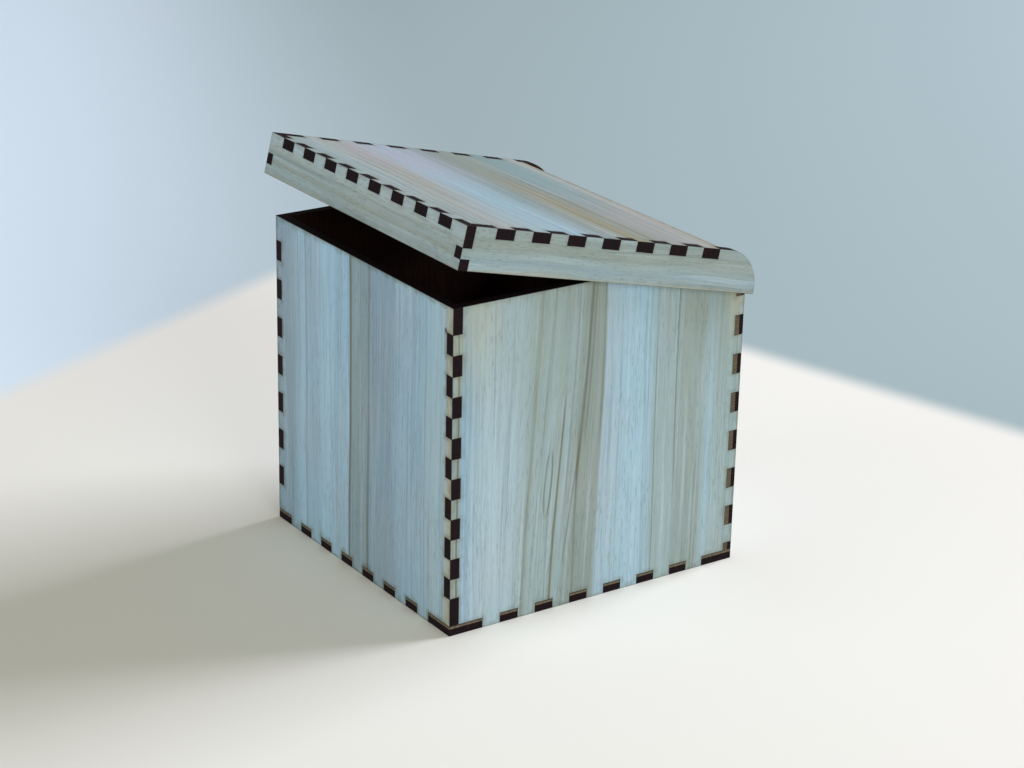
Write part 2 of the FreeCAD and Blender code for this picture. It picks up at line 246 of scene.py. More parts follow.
feed(grain, made["Lines"], reckon(grain, "MULTIPLY_ADD", hair_lines, HAIR_SHARE, long_lines))
feed(grain, made["Pores"], reckon(grain, "MULTIPLY", pores, pore_crowding))
feed(grain, made["Pale"], pale)
feed(grain, made["Hue"], hue)

# One heart line of the veneer: a dark growth line that starts and ends within the panel, and may bend.
# It fades over the last part of its half length.
FADES_FROM = 0.6
heart_line, given, made = new_group(
    "heart line",
    {"Line place": "Float", "Along": "Float", "Place": "Float", "Lean": "Float", "Bend": "Float",
     "Middle": "Float", "Half length": "Float", "Width": "Float"},
    {"Mask": "Float"},
)
from_middle = reckon(heart_line, "SUBTRACT", given["Along"], given["Middle"])
from_middle = reckon(heart_line, "DIVIDE", from_middle, given["Half length"])
line_centre = reckon(heart_line, "MULTIPLY_ADD", from_middle, given["Lean"], given["Place"])
bent = reckon(heart_line, "MULTIPLY", from_middle, from_middle)
bent = reckon(heart_line, "MULTIPLY", bent, given["Bend"])
aside = reckon(heart_line, "SUBTRACT", given["Line place"], reckon(heart_line, "ADD", line_centre, bent))
mask = ease(heart_line, reckon(heart_line, "ABSOLUTE", aside), 0.0, given["Width"], 1.0, 0.0)
fading = ease(heart_line, reckon(heart_line, "ABSOLUTE", from_middle), FADES_FROM, 1.0, 1.0, 0.0)
feed(heart_line, made["Mask"], reckon(heart_line, "MULTIPLY", mask, fading))

# A soft patch of another tone laid on the veneer, strongest at its centre and gone at its reach.
# Most are hues of the veneer itself; one on the right wall is painted shade.
soft_patch, given, made = new_group(
    "soft patch",
    {"U": "Float", "V": "Float", "Centre U": "Float", "Centre V": "Float", "Reach U": "Float",
     "Reach V": "Float"},
    {"Mask": "Float"},
)
aside_u = reckon(soft_patch, "SUBTRACT", given["U"], given["Centre U"])
aside_u = reckon(soft_patch, "DIVIDE", aside_u, given["Reach U"])
aside_v = reckon(soft_patch, "SUBTRACT", given["V"], given["Centre V"])
aside_v = reckon(soft_patch, "DIVIDE", aside_v, given["Reach V"])
squares = reckon(soft_patch, "MULTIPLY", aside_v, aside_v)
squares = reckon(soft_patch, "MULTIPLY_ADD", aside_u, aside_u, squares)
feed(soft_patch, made["Mask"], ease(soft_patch, reckon(soft_patch, "SQRT", squares), 0.0, 1.0, 1.0, 0.0))

# A row of finger joints along one edge: how far a place on the board is from the nearest cut.
# Side is 1 where the row is of notches and -1 where it is of tabs.
finger_row, given, made = new_group(
    "finger row",
    {"Along": "Float", "Across": "Float", "First": "Float", "Pitch": "Float", "Last": "Float",
     "Half": "Float", "Side": "Float", "Depth": "Float"},
    {"Distance": "Float"},
)
count = reckon(finger_row, "SUBTRACT", given["Along"], given["First"])
count = reckon(finger_row, "MAXIMUM", reckon(finger_row, "DIVIDE", count, given["Pitch"]), 0.0)
nearest = reckon(finger_row, "ROUND", reckon(finger_row, "MINIMUM", count, given["Last"]))
finger_centre = reckon(finger_row, "MULTIPLY_ADD", nearest, given["Pitch"], given["First"])
beside = reckon(finger_row, "ABSOLUTE", reckon(finger_row, "SUBTRACT", given["Along"], finger_centre))
beside = reckon(finger_row, "SUBTRACT", beside, given["Half"])
beside = reckon(finger_row, "MULTIPLY", beside, given["Side"])
beside = reckon(finger_row, "MAXIMUM", beside, 0.0)
above = reckon(finger_row, "SUBTRACT", given["Across"], given["Depth"])
above = reckon(finger_row, "MAXIMUM", above, 0.0)
squares = reckon(finger_row, "MULTIPLY", above, above)
squares = reckon(finger_row, "MULTIPLY_ADD", beside, beside, squares)
feed(finger_row, made["Distance"], reckon(finger_row, "SQRT", squares))

# Scorch of the laser on the good face, by millimetres from the cut: a thin brown line at the cut and
# a yellow smoke stain beside it, which is broader and stronger in some places than in others.
LUMPS_PER_MM = (0.3, 0.3, 0.3)
SHORT_STAIN = 0.9
LONG_STAIN = 2.6
LEAST_STAIN = 0.5
CHAR_FULL_AT = 0.02
CHAR_GONE_AT = 0.26
scorch, given, made = new_group(
    "laser scorch", {"Distance": "Float", "Place": "Vector"}, {"Stain": "Float", "Char": "Float"},
)
lumps = speckle(scorch, stretched(scorch, given["Place"], LUMPS_PER_MM))
stain_reach = ease(scorch, lumps, 0.3, 0.7, SHORT_STAIN, LONG_STAIN)
stain = ease(scorch, reckon(scorch, "DIVIDE", given["Distance"], stain_reach), 0.0, 1.0, 1.0, 0.0)
stain_share = ease(scorch, lumps, 0.25, 0.7, LEAST_STAIN)
feed(scorch, made["Stain"], reckon(scorch, "MULTIPLY", stain, stain_share))
feed(scorch, made["Char"], ease(scorch, given["Distance"], CHAR_FULL_AT, CHAR_GONE_AT, 1.0, 0.0))

# Burnt edge of the board: the laser leaves fine ridges through its thickness, near black, and here
# and there a paler ply shows at a share of the depth from the good face.
RIDGES_PER_MM = (4.0, 4.0, 0.3)
CHAR_BLACK = paint(16, 9, 12)
CHAR_BROWN = paint(46, 25, 28)
PLY_TAN = paint(146, 132, 104)
PLY_SOFTNESS = 0.05
LEAST_PLY = 0.35
RIDGE_LOW_ROUGHNESS = 0.62
RIDGE_HIGH_ROUGHNESS = 0.85
burnt, given, made = new_group(
    "burnt edge",
    {"Place": "Vector", "Depth": "Float", "Ply from": "Float", "Ply to": "Float", "Ply": "Float"},
    {"Colour": "Color", "Roughness": "Float", "Height": "Float"},
)
ridges = speckle(burnt, stretched(burnt, given["Place"], RIDGES_PER_MM), detail=3.0, roughness=0.65)
char = layer(burnt, ease(burnt, ridges, 0.36, 0.78), CHAR_BLACK, CHAR_BROWN)
ply_start = reckon(burnt, "SUBTRACT", given["Depth"], given["Ply from"])
ply_end = reckon(burnt, "SUBTRACT", given["Ply to"], given["Depth"])
in_ply = ease(burnt, reckon(burnt, "MINIMUM", ply_start, ply_end), -PLY_SOFTNESS, PLY_SOFTNESS)
in_ply = reckon(burnt, "MULTIPLY", in_ply, given["Ply"])
in_ply = reckon(burnt, "MULTIPLY", in_ply, ease(burnt, ridges, 0.3, 0.6, LEAST_PLY))
feed(burnt, made["Colour"], layer(burnt, in_ply, char, PLY_TAN))
feed(burnt, made["Roughness"], ease(burnt, ridges, 0.3, 0.7, RIDGE_LOW_ROUGHNESS, RIDGE_HIGH_ROUGHNESS))
feed(burnt, made["Height"], ridges)

# Plain face of the board, the inside of the box: smooth dark brown fibreboard with faint fibres.
FIBRES_PER_MM = (0.9, 0.16, 0.9)
CORE_DARK = paint(49, 31, 23)
CORE_LIGHT = paint(66, 43, 31)
FIBRE_LOW_ROUGHNESS = 0.55
FIBRE_HIGH_ROUGHNESS = 0.75
plain, given, made = new_group(
    "plain face", {"Place": "Vector"}, {"Colour": "Color", "Roughness": "Float", "Height": "Float"},
)
fibre = speckle(plain, stretched(plain, given["Place"], FIBRES_PER_MM), detail=5.0, roughness=0.65)
feed(plain, made["Colour"], layer(plain, ease(plain, fibre, 0.3, 0.75), CORE_DARK, CORE_LIGHT))
feed(plain, made["Roughness"], ease(plain, fibre, 0.3, 0.7, FIBRE_LOW_ROUGHNESS, FIBRE_HIGH_ROUGHNESS))
feed(plain, made["Height"], fibre)

# Tones of the veneer, from its pale blue sapwood to its olive heart, then the shades laid over them.
SKY = (166, 198, 210)
MIST = (166, 192, 202)
PEARL = (173, 196, 202)
SAGE = (160, 180, 178)
OLIVE = (154, 169, 162)
BARK = paint(98, 95, 68)
LINE_SHADE = paint(97, 109, 105)
PALE_SHADE = paint(196, 218, 228)
WARM_HUE = paint(188, 182, 176)
SMOKE = paint(178, 158, 108)
SOOT = paint(58, 42, 32)
PALE_SHARE = 0.28
LINE_SHARE = 0.22
BAND_FRAY = 1.6
FACE_FROM = 0.86
FACE_FULL = 0.97
VENEER_ROUGHNESS = 0.58
LINE_ROUGHNESS = 0.1
BOARD_SHEEN = 0.1
RELIEF = 0.06
RELIEF_STRENGTH = 0.4


def blend(tree, share, under, over):
    """One value laid over another by a share."""
    node = tree.nodes.new("ShaderNodeMix")
    feed(tree, node.inputs[0], share)
    feed(tree, node.inputs[2], under)
    feed(tree, node.inputs[3], over)
    return node.outputs[0]


def tone_ramp(tree, place, bands):
    """The veneer's tones by millimetres across the grain."""
    width = bands[-1][0]
    ramp = tree.nodes.new("ShaderNodeValToRGB")
    feed(tree, ramp.inputs[0], reckon(tree, "DIVIDE", place, width))
    stops = ramp.color_ramp.elements
    for where, _ in bands[1:-1]:
        stops.new(where / width)
    for stop, (where, tone) in zip(stops, bands):
        stop.position = where / width
        stop.color = paint(*tone)
    return ramp.outputs[0]


def board_material(name, stand, good_side, bands, seed, cuts, upright=True, lean=(0.0, 0.0, 1.0), wave=2.4,
                   figure_length=1.0, pore_share=0.2, smoke=0.5, char_share=0.6, warmth=0.15, hearts=(),
                   patches=(), ply=(0.0, 0.0, 0.0)):
    """Veneered board for one panel. stand is where its flat drawing stands, good_side is the side of the
    drawing that the veneer is on, bands are the veneer's tones by millimetres across the grain, and cuts
    gives the distance to the panel's own cut lines. upright says that the grain runs up the drawing, lean
    is how much it leans, about which place and how far around it, wave is how far it drifts, and
    figure_length is how long its figure is. Each of hearts is a dark line: its place, slant, bend, middle,
    half length, width and strength. Each of patches is a tint: its centre, its reach, its tone and its
    share. ply is the paler ply in the cut edge: where it starts, where it ends and its strength."""
    material, tree, shader, coordinates = new_material(name)
    drawing = tree.nodes.new("ShaderNodeMapping")
    feed(tree, drawing.inputs["Vector"], coordinates["Object"])
    back = stand.inverted()
    drawing.inputs["Location"].default_value = back.to_translation()
    drawing.inputs["Rotation"].default_value = back.to_euler("XYZ")
    drawing.inputs["Scale"].default_value = (1 / MM, 1 / MM, 1 / MM)
    place = drawing.outputs[0]
    parts = tree.nodes.new("ShaderNodeSeparateXYZ")
    feed(tree, parts.inputs[0], place)
    u, v, depth = parts.outputs

    across, along = (u, v) if upright else (v, u)
    drawn_out = reckon(tree, "DIVIDE", along, figure_length)
    figure = use_group(tree, grain, Across=across, Along=drawn_out, Seed=seed, Lean=lean[0],
                       Lean_centre=lean[1], Lean_reach=lean[2], Wave=wave, Fray=BAND_FRAY)
    veneer = tone_ramp(tree, figure["Band place"], bands)
    veneer = layer(tree, ease(tree, figure["Hue"], 0.4, 0.7, 0.0, warmth), veneer, WARM_HUE)
    veneer = layer(tree, reckon(tree, "MULTIPLY", figure["Pale"], PALE_SHARE), veneer, PALE_SHADE)
    veneer = layer(tree, reckon(tree, "MULTIPLY", figure["Lines"], LINE_SHARE), veneer, LINE_SHADE)
    veneer = layer(tree, reckon(tree, "MULTIPLY", figure["Pores"], pore_share), veneer, LINE_SHADE)
    for where, slant, bend, middle, half_length, line_width, strength in hearts:
        line = use_group(tree, heart_line, Line_place=figure["Line place"], Along=along, Place=where,
                         Lean=slant, Bend=bend, Middle=middle, Half_length=half_length, Width=line_width)
        veneer = layer(tree, reckon(tree, "MULTIPLY", line["Mask"], strength), veneer, BARK)
    for centre_u, centre_v, reach_u, reach_v, tone, share in patches:
        patch = use_group(tree, soft_patch, U=u, V=v, Centre_U=centre_u, Centre_V=centre_v, Reach_U=reach_u,
                          Reach_V=reach_v)
        veneer = layer(tree, reckon(tree, "MULTIPLY", patch["Mask"], share), veneer, paint(*tone))
    burn = use_group(tree, scorch, Distance=cuts(tree, u, v), Place=place)
    veneer = layer(tree, reckon(tree, "MULTIPLY", burn["Stain"], smoke), veneer, SMOKE, "MULTIPLY")
    veneer = layer(tree, reckon(tree, "MULTIPLY", burn["Char"], char_share), veneer, SOOT)

    from_good = reckon(tree, "DIVIDE", depth, BOARD)
    if good_side == UPPER_SIDE:
        from_good = reckon(tree, "SUBTRACT", 1.0, from_good)
    edge = use_group(tree, burnt, Place=place, Depth=from_good, Ply_from=ply[0], Ply_to=ply[1], Ply=ply[2])
    inside = use_group(tree, plain, Place=place)

    facing = along_way(tree, coordinates["Normal"], stand.to_3x3() @ Vector((0, 0, good_side)))
    on_good = ease(tree, facing, FACE_FROM, FACE_FULL)
    on_plain = ease(tree, facing, -FACE_FULL, -FACE_FROM, 1.0, 0.0)

    def by_face(of_veneer, of_edge, of_inside):
        """A value that differs between the good face, the cut edges and the plain face."""
        return blend(tree, on_good, blend(tree, on_plain, of_edge, of_inside), of_veneer)

    colour = layer(tree, on_plain, layer(tree, on_good, edge["Colour"], veneer), inside["Colour"])
    feed(tree, shader.inputs["Base Color"], colour)
    dark_lines = reckon(tree, "ADD", figure["Lines"], figure["Pores"])
    veneer_roughness = reckon(tree, "MULTIPLY_ADD", dark_lines, LINE_ROUGHNESS, VENEER_ROUGHNESS)
    roughness = by_face(veneer_roughness, edge["Roughness"], inside["Roughness"])
    feed(tree, shader.inputs["Roughness"], roughness)
    shader.inputs["Specular IOR Level"].default_value = BOARD_SHEEN
    bump = tree.nodes.new("ShaderNodeBump")
    bump.inputs["Strength"].default_value = RELIEF_STRENGTH
    bump.inputs["Distance"].default_value = RELIEF * MM
    veneer_height = reckon(tree, "SUBTRACT", 1.0, dark_lines)
    feed(tree, bump.inputs["Height"], by_face(veneer_height, edge["Height"], inside["Height"]))
    feed(tree, shader.inputs["Normal"], bump.outputs[0])
    return material


def nearest_of(tree, distances):
    """The least of several distances."""
    least = distances[0]
    for other in distances[1:]:
        least = reckon(tree, "MINIMUM", least, other)
    return least


def row_of(tree, along, across, first, side, half=FINGER / 2, last=LAST_FINGER):
    """Distance to a row of equal notches or tabs, spaced as wide as they are."""
    return use_group(tree, finger_row, Along=along, Across=across, First=first, Pitch=4 * half, Last=last,
                     Half=half, Side=side, Depth=BOARD)["Distance"]


def rest_of(tree, length, place):
    """How far a place is from the far edge of a panel of this length."""
    return reckon(tree, "SUBTRACT", length, place)


ARRIS = 0.1
ARRIS_STEPS = 2
ARRIS_ANGLE = 40
WELD_REACH = 0.002


def dress(node_name, material):
    """Give a panel its board, and break its sharp edges by a hair so that the joints show as seams."""
    panel = frame["nodes"][node_name]
    panel.data.materials.clear()
    panel.data.materials.append(material)
    weld = panel.modifiers.new("weld", "WELD")
    weld.merge_threshold = WELD_REACH * MM
    bevel = panel.modifiers.new("arris", "BEVEL")
    bevel.width = ARRIS * MM
    bevel.segments = ARRIS_STEPS
    bevel.limit_method = "ANGLE"
    bevel.angle_limit = math.radians(ARRIS_ANGLE)


def bottom_cuts(tree, u, v):
    """Distance to the bottom panel's cuts: the walls' tabs take notches out of all its edges."""
    return nearest_of(tree, [
        row_of(tree, u, v, FIRST_ALONG_FRONT, NOTCH),
        row_of(tree, u, rest_of(tree, BOX_DEPTH, v), FIRST_ALONG_FRONT, NOTCH),
        row_of(tree, v, u, FIRST_ALONG_SIDE, NOTCH),
        row_of(tree, v, rest_of(tree, BOX_WIDTH, u), FIRST_ALONG_SIDE, NOTCH),
    ])


QUIET_BANDS = [
    (0.0, MIST), (14.0, SKY), (30.0, SAGE), (31.0, MIST), (44.0, SKY), (57.0, SAGE), (58.5, OLIVE),
    (62.0, SAGE), (72.0, MIST), (86.0, PEARL), (100.0, MIST),
]
BOTTOM_PLY = (0.07, 0.27, 0.75)
stand = Matrix.Translation((-BOX_WIDTH / 2, -BOX_DEPTH / 2, 0))
dress("bottom_panel", board_material(
    "bottom board", stand, UPPER_SIDE, QUIET_BANDS, seed=3.1, cuts=bottom_cuts, upright=False,
    ply=BOTTOM_PLY))

# Front wall: grey veneer with upright grain, and a grey-green heart band between two dark lines
# left of its middle, its tones painted bluer with the cool light that falls on this shaded side.
# Seven notches down each side edge take the side walls' tabs, which end flush.
BOX_HEIGHT = 97.0
FIRST_UP_FRONT = 14.4
FACING_FRONT = Matrix.Rotation(math.radians(90), 4, "X")


def front_cuts(tree, u, v):
    """Distance to the front wall's cuts: notches up both side edges, tabs along the lower edge."""
    far = rest_of(tree, BOX_WIDTH, u)
    return nearest_of(tree, [
        row_of(tree, v, u, FIRST_UP_FRONT, NOTCH),
        row_of(tree, v, far, FIRST_UP_FRONT, NOTCH),
        row_of(tree, u, v, FIRST_ALONG_FRONT, TAB),
        rest_of(tree, BOX_HEIGHT, v), u, far, v,
    ])


# The front's tones carry painted light: the cool blue cast of the light on this shaded side is put into its
# colours.
FRONT_SKY = (169, 204, 223)
FRONT_MIST = (160, 191, 207)
FRONT_SLATE = (145, 170, 184)
FRONT_PEARL = (170, 198, 208)
FRONT_STRAW = (178, 182, 166)
HEART_GREY = (144, 166, 172)
FRONT_BANDS = [
    (0.0, FRONT_SLATE), (9.0, FRONT_SLATE), (13.0, FRONT_MIST), (16.5, FRONT_SKY), (17.6, FRONT_MIST),
    (24.0, FRONT_MIST), (27.0, FRONT_SKY), (33.0, FRONT_SKY), (36.0, FRONT_MIST), (41.6, FRONT_SKY),
    (43.0, HEART_GREY), (47.0, HEART_GREY), (52.0, HEART_GREY), (53.5, FRONT_SLATE), (64.0, FRONT_SLATE),
    (70.0, FRONT_MIST), (80.0, FRONT_MIST), (88.0, FRONT_PEARL), (92.4, FRONT_PEARL), (94.0, FRONT_STRAW),
    (96.5, FRONT_STRAW),
]
TORN = (70, 58, 52)
FRONT_PATCHES = [(92.9, 89.8, 1.1, 1.3, TORN, 0.95)]
FRONT_HEARTS = [
    (17.6, 0.0, 0.0, 48.0, 90.0, 0.8, 0.2),
    (42.6, 0.5, -0.6, 48.0, 90.0, 1.0, 0.8),
    (52.6, 0.0, 0.5, 48.0, 90.0, 1.1, 0.5),
    (83.0, 0.0, 0.0, 40.0, 60.0, 0.5, 0.3),
]
stand = Matrix.Translation((-BOX_WIDTH / 2, -BOX_DEPTH / 2 + BOARD, 0)) @ FACING_FRONT
dress("front_wall", board_material(
    "front board", stand, UPPER_SIDE, FRONT_BANDS, seed=11.3, cuts=front_cuts, pore_share=0.26, smoke=0.6,
    hearts=FRONT_HEARTS, patches=FRONT_PATCHES))

# Back wall: the same board with its good face out, lower than the rim so that the lid can swing
# down behind it. A brown ply shows along the inner side of its burnt ends.
BACK_HEIGHT = 89.4
FIRST_UP_BACK = 8.4


def back_cuts(tree, u, v):
    """Distance to the back wall's cuts: notches up both side edges, tabs along the lower edge."""
    far = rest_of(tree, BOX_WIDTH, u)
    return nearest_of(tree, [
        row_of(tree, v, u, FIRST_UP_BACK, NOTCH),
        row_of(tree, v, far, FIRST_UP_BACK, NOTCH),
        row_of(tree, u, v, FIRST_ALONG_FRONT, TAB),
        rest_of(tree, BACK_HEIGHT, v), u, far, v,
    ])


BACK_PALE = (164, 178, 172)
BACK_SAND = (160, 168, 156)
BACK_BANDS = [
    (0.0, OLIVE), (12.0, SAGE), (22.0, BACK_PALE), (30.0, SAGE), (31.5, OLIVE), (38.0, BACK_SAND),
    (44.0, OLIVE), (46.0, SAGE), (58.0, BACK_PALE), (70.0, SAGE), (71.5, BACK_SAND), (80.0, OLIVE),
    (96.5, SAGE),
]
BACK_HEARTS = [
    (31.0, 0.6, 0.0, 44.0, 80.0, 0.8, 0.45),
    (45.2, -0.5, 0.4, 44.0, 80.0, 0.7, 0.5),
    (70.8, 0.3, 0.0, 50.0, 70.0, 0.6, 0.4),
]
BACK_PLY = (0.48, 1.2, 0.48)
stand = Matrix.Translation((-BOX_WIDTH / 2, BOX_DEPTH / 2, 0)) @ FACING_FRONT
dress("back_wall", board_material(
    "back board", stand, LOWER_SIDE, BACK_BANDS, seed=23.9, cuts=back_cuts, hearts=BACK_HEARTS,
    ply=BACK_PLY))

# Side walls: upright grain. The right one has olive heart streaks that lean in its front half and end
# at a sharp pale sapwood band. Tabs along three edges reach through the neighbours to their faces.
FACING_SIDE = Matrix.Rotation(math.radians(120), 4, Vector((1, 1, 1)))


def side_cuts(tree, u, v):
    """Distance to a side wall's cuts: tabs up both side edges and along the lower edge."""
    far = rest_of(tree, BOX_DEPTH, u)
    return nearest_of(tree, [
        row_of(tree, v, u, FIRST_UP_FRONT, TAB),
        row_of(tree, v, far, FIRST_UP_BACK, TAB),
        row_of(tree, u, v, FIRST_ALONG_SIDE, TAB),
        rest_of(tree, BOX_HEIGHT, v), u, far, v,
    ])


RIGHT_BLUE = (143, 175, 194)
RIGHT_BROWN = (144, 158, 150)
RIGHT_BANDS = [
    (0.0, OLIVE), (2.6, OLIVE), (3.2, RIGHT_BLUE), (7.5, MIST), (9.5, PEARL), (14.0, PEARL), (21.0, PEARL),
    (25.0, SAGE), (26.6, OLIVE), (28.5, SAGE), (31.0, SAGE), (33.0, SAGE), (36.0, OLIVE), (38.0, SAGE),
    (42.0, RIGHT_BROWN), (49.9, RIGHT_BROWN), (50.7, MIST), (59.0, SKY), (66.0, SKY), (70.0, SAGE),
    (76.0, SAGE), (78.5, OLIVE), (86.2, OLIVE), (87.0, SAGE), (89.0, MIST), (91.0, SAGE), (100.0, SAGE),
]
STRAW = (178, 179, 147)
STAIN = (186, 172, 128)
WARM_GREY = (152, 163, 150)
# Painted shade: a duller, darker tone for the wall's upper rear corner, which lies in shade under the lid's
# cheek.
PAINTED_LID_SHADE = (137, 146, 127)
# Patches high on the right wall: a straw tint at the front, a warmer and darker tone further back, painted
# shade under the lid at the rear corner, and a stain at the rear edge.
RIGHT_PATCHES = [
    (7.0, 94.0, 13.0, 36.0, STRAW, 0.5),
    (26.0, 84.0, 20.0, 42.0, WARM_GREY, 0.42),
    (92.0, 86.0, 15.0, 36.0, PAINTED_LID_SHADE, 0.5),
    (97.0, 90.0, 5.0, 26.0, STAIN, 0.45),
]
RIGHT_HEARTS = [
    (2.0, 0.0, 0.0, 48.0, 90.0, 0.45, 0.8),
    (26.4, 0.0, 0.0, 48.0, 90.0, 0.9, 0.2),
    (36.4, 0.4, 0.0, 26.0, 46.0, 0.65, 0.75),
    (30.2, 0.3, 0.0, 74.0, 40.0, 0.7, 0.35),
    (39.4, -0.3, 0.0, 60.0, 50.0, 0.6, 0.3),
    (31.9, 0.0, 1.1, 39.0, 12.0, 0.45, 0.6),
    (34.2, 0.0, -1.1, 39.0, 12.0, 0.45, 0.6),
    (43.4, 1.3, 0.6, 70.0, 42.0, 1.0, 0.6),
    (45.2, 1.1, 0.4, 78.0, 34.0, 0.7, 0.4),
    (43.4, -1.4, 0.0, 20.0, 40.0, 0.6, 0.4),
    (41.6, 1.8, 0.0, 32.0, 22.0, 0.5, 0.5),
    (49.6, 0.0, 0.0, 80.0, 36.0, 0.6, 0.45),
    (69.4, 0.0, 0.0, 30.0, 60.0, 0.45, 0.45),
    (76.6, 0.0, 0.0, 64.0, 48.0, 0.5, 0.5),
]
RIGHT_LEAN = (0.058, 33.0, 21.0)
stand = Matrix.Translation((BOX_WIDTH / 2 - BOARD, -BOX_DEPTH / 2, 0)) @ FACING_SIDE
dress("right_wall", board_material(
    "right board", stand, UPPER_SIDE, RIGHT_BANDS, seed=37.2, cuts=side_cuts, lean=RIGHT_LEAN, wave=1.6,
    pore_share=0.28, smoke=0.35, hearts=RIGHT_HEARTS, patches=RIGHT_PATCHES))
LEFT_HEARTS = [
    (29.8, 0.6, 0.0, 48.0, 90.0, 0.8, 0.5),
    (58.0, -0.5, 0.6, 48.0, 90.0, 0.9, 0.6),
]
stand = Matrix.Translation((-BOX_WIDTH / 2, -BOX_DEPTH / 2, 0)) @ FACING_SIDE
dress("left_wall", board_material(
    "left board", stand, LOWER_SIDE, QUIET_BANDS, seed=41.7, cuts=side_cuts, smoke=0.4, hearts=LEFT_HEARTS))

# Hinge pegs: short beech dowels through the side walls' ears into the lid's cheeks, which hide them.
# Their grain runs along them.
PEG_DARK = paint(128, 92, 58)
PEG_LIGHT = paint(186, 148, 102)
PEG_FIBRES_PER_METRE = (200, 2500, 2500)
PEG_LOW_ROUGHNESS = 0.5
PEG_HIGH_ROUGHNESS = 0.7
PEG_RELIEF = 0.1
PEG_RELIEF_STRENGTH = 0.3
peg_wood, tree, shader, coordinates = new_material("peg wood")
drawing = tree.nodes.new("ShaderNodeMapping")
feed(tree, drawing.inputs["Vector"], coordinates["Object"])
drawing.inputs["Scale"].default_value = PEG_FIBRES_PER_METRE
fibre = speckle(tree, drawing.outputs[0], detail=4.0, roughness=0.6)
feed(tree, shader.inputs["Base Color"], layer(tree, ease(tree, fibre, 0.3, 0.7), PEG_DARK, PEG_LIGHT))
feed(tree, shader.inputs["Roughness"], ease(tree, fibre, 0.3, 0.7, PEG_LOW_ROUGHNESS, PEG_HIGH_ROUGHNESS))
bump = tree.nodes.new("ShaderNodeBump")
bump.inputs["Strength"].default_value = PEG_RELIEF_STRENGTH
bump.inputs["Distance"].default_value = PEG_RELIEF * MM
feed(tree, bump.inputs["Height"], fibre)
feed(tree, shader.inputs["Normal"], bump.outputs[0])
for peg_name in ("hinge_peg_left", "hinge_peg_right"):
    peg = frame["nodes"][peg_name]
    peg.data.materials.clear()
    peg.data.materials.append(peg_wood)

# Lid top: the largest of the lid's four glued panels, its grain across the lid, with a tan heart band
# toward the back. It is drawn as it lies when closed, and swung about the hinge to where it rests.
LID_WIDTH = 104.5
LID_HEIGHT = 12.3
LID_FRONT_Y = -53.4
LID_TOP_Z = 97.3
LID_TOP_LENGTH = 89.8
FIRST_LID_FRONT = 10.25
LAST_LID_FRONT = 7
FIRST_CHEEK = 12.9
hinge = frame["joints"][0]
hinge_place = Vector(hinge["pos_m"]) / MM
rest_angle = math.radians(-hinge["range_deg"][0])
to_hinge = Matrix.Translation(hinge_place)
SWING = to_hinge @ Matrix.Rotation(-rest_angle, 4, "X") @ to_hinge.inverted()


def lid_top_cuts(tree, u, v):
    """Distance to the lid top's cuts: tabs along the front and both sides."""
    far = rest_of(tree, LID_WIDTH, u)
    return nearest_of(tree, [
        row_of(tree, u, v, FIRST_LID_FRONT, TAB, last=LAST_LID_FRONT),
        row_of(tree, v, u, FIRST_CHEEK, TAB),
        row_of(tree, v, far, FIRST_CHEEK, TAB),
        rest_of(tree, LID_TOP_LENGTH, v), u, far, v,
    ])


LID_MIST = (157, 172, 164)
LID_PALE = (170, 179, 170)
LID_ROSE = (170, 172, 159)
LID_BLUE = (160, 187, 189)
LID_GREY = (141, 155, 146)
LID_TAN = (158, 154, 126)
LID_LILAC = (184, 172, 180)
LID_PINK = (174, 162, 148)
LID_TEAL = (134, 163, 160)
LID_MOSS = (136, 152, 144)
LID_PATCHES = [
    (18.0, 36.0, 48.0, 24.0, LID_LILAC, 0.5),
    (88.0, 76.0, 50.0, 18.0, LID_PINK, 0.5),
    (22.0, 76.0, 48.0, 16.0, LID_TEAL, 0.55),
    (10.0, 58.0, 56.0, 12.0, LID_MOSS, 0.7),
    (96.0, 25.0, 44.0, 13.0, LID_BLUE, 0.6),
]
LID_TOP_BANDS = [
    (0.0, LID_MIST), (7.0, LID_MIST), (11.0, LID_PALE), (16.0, LID_ROSE), (22.0, LID_ROSE),
    (31.0, LID_BLUE), (37.0, LID_BLUE), (50.0, LID_GREY), (57.0, LID_TAN), (62.0, LID_TAN),
    (64.5, LID_GREY), (67.0, LID_TAN), (69.0, LID_GREY), (80.0, LID_GREY), (86.0, LID_ROSE),
    (89.8, LID_TAN),
]
LID_TOP_HEARTS = [
    (6.0, 0.3, 0.0, 78.0, 40.0, 0.5, 0.4),
    (8.4, 0.5, 0.0, 70.0, 50.0, 0.5, 0.5),
    (10.6, 0.2, 0.0, 84.0, 36.0, 0.4, 0.4),
    (12.6, -0.4, 0.0, 66.0, 56.0, 0.5, 0.45),
    (17.0, 0.6, 0.0, 62.0, 60.0, 0.9, 0.35),
    (57.6, -0.8, 0.0, 80.0, 60.0, 1.1, 0.4),
    (62.0, -0.6, 0.0, 70.0, 70.0, 1.6, 0.18),
    (66.6, -0.4, 0.0, 76.0, 60.0, 0.7, 0.6),
]
stand = SWING @ Matrix.Translation((-LID_WIDTH / 2, LID_FRONT_Y, LID_TOP_Z))
dress("lid_top", board_material(
    "lid top board", stand, UPPER_SIDE, LID_TOP_BANDS, seed=53.5, cuts=lid_top_cuts, upright=False,
    wave=4.0, warmth=0.2, hearts=LID_TOP_HEARTS, patches=LID_PATCHES))

# Lid front wall: a narrow strip, its grain lying along it, that hangs from the lid's front edge on
# eight fingers and covers the top of the box's front when the lid is closed.
LID_LOWER_Z = LID_TOP_Z + BOARD - LID_HEIGHT
CORNER_FINGER = 3.1
CORNER_CENTRE = 1.5 * CORNER_FINGER


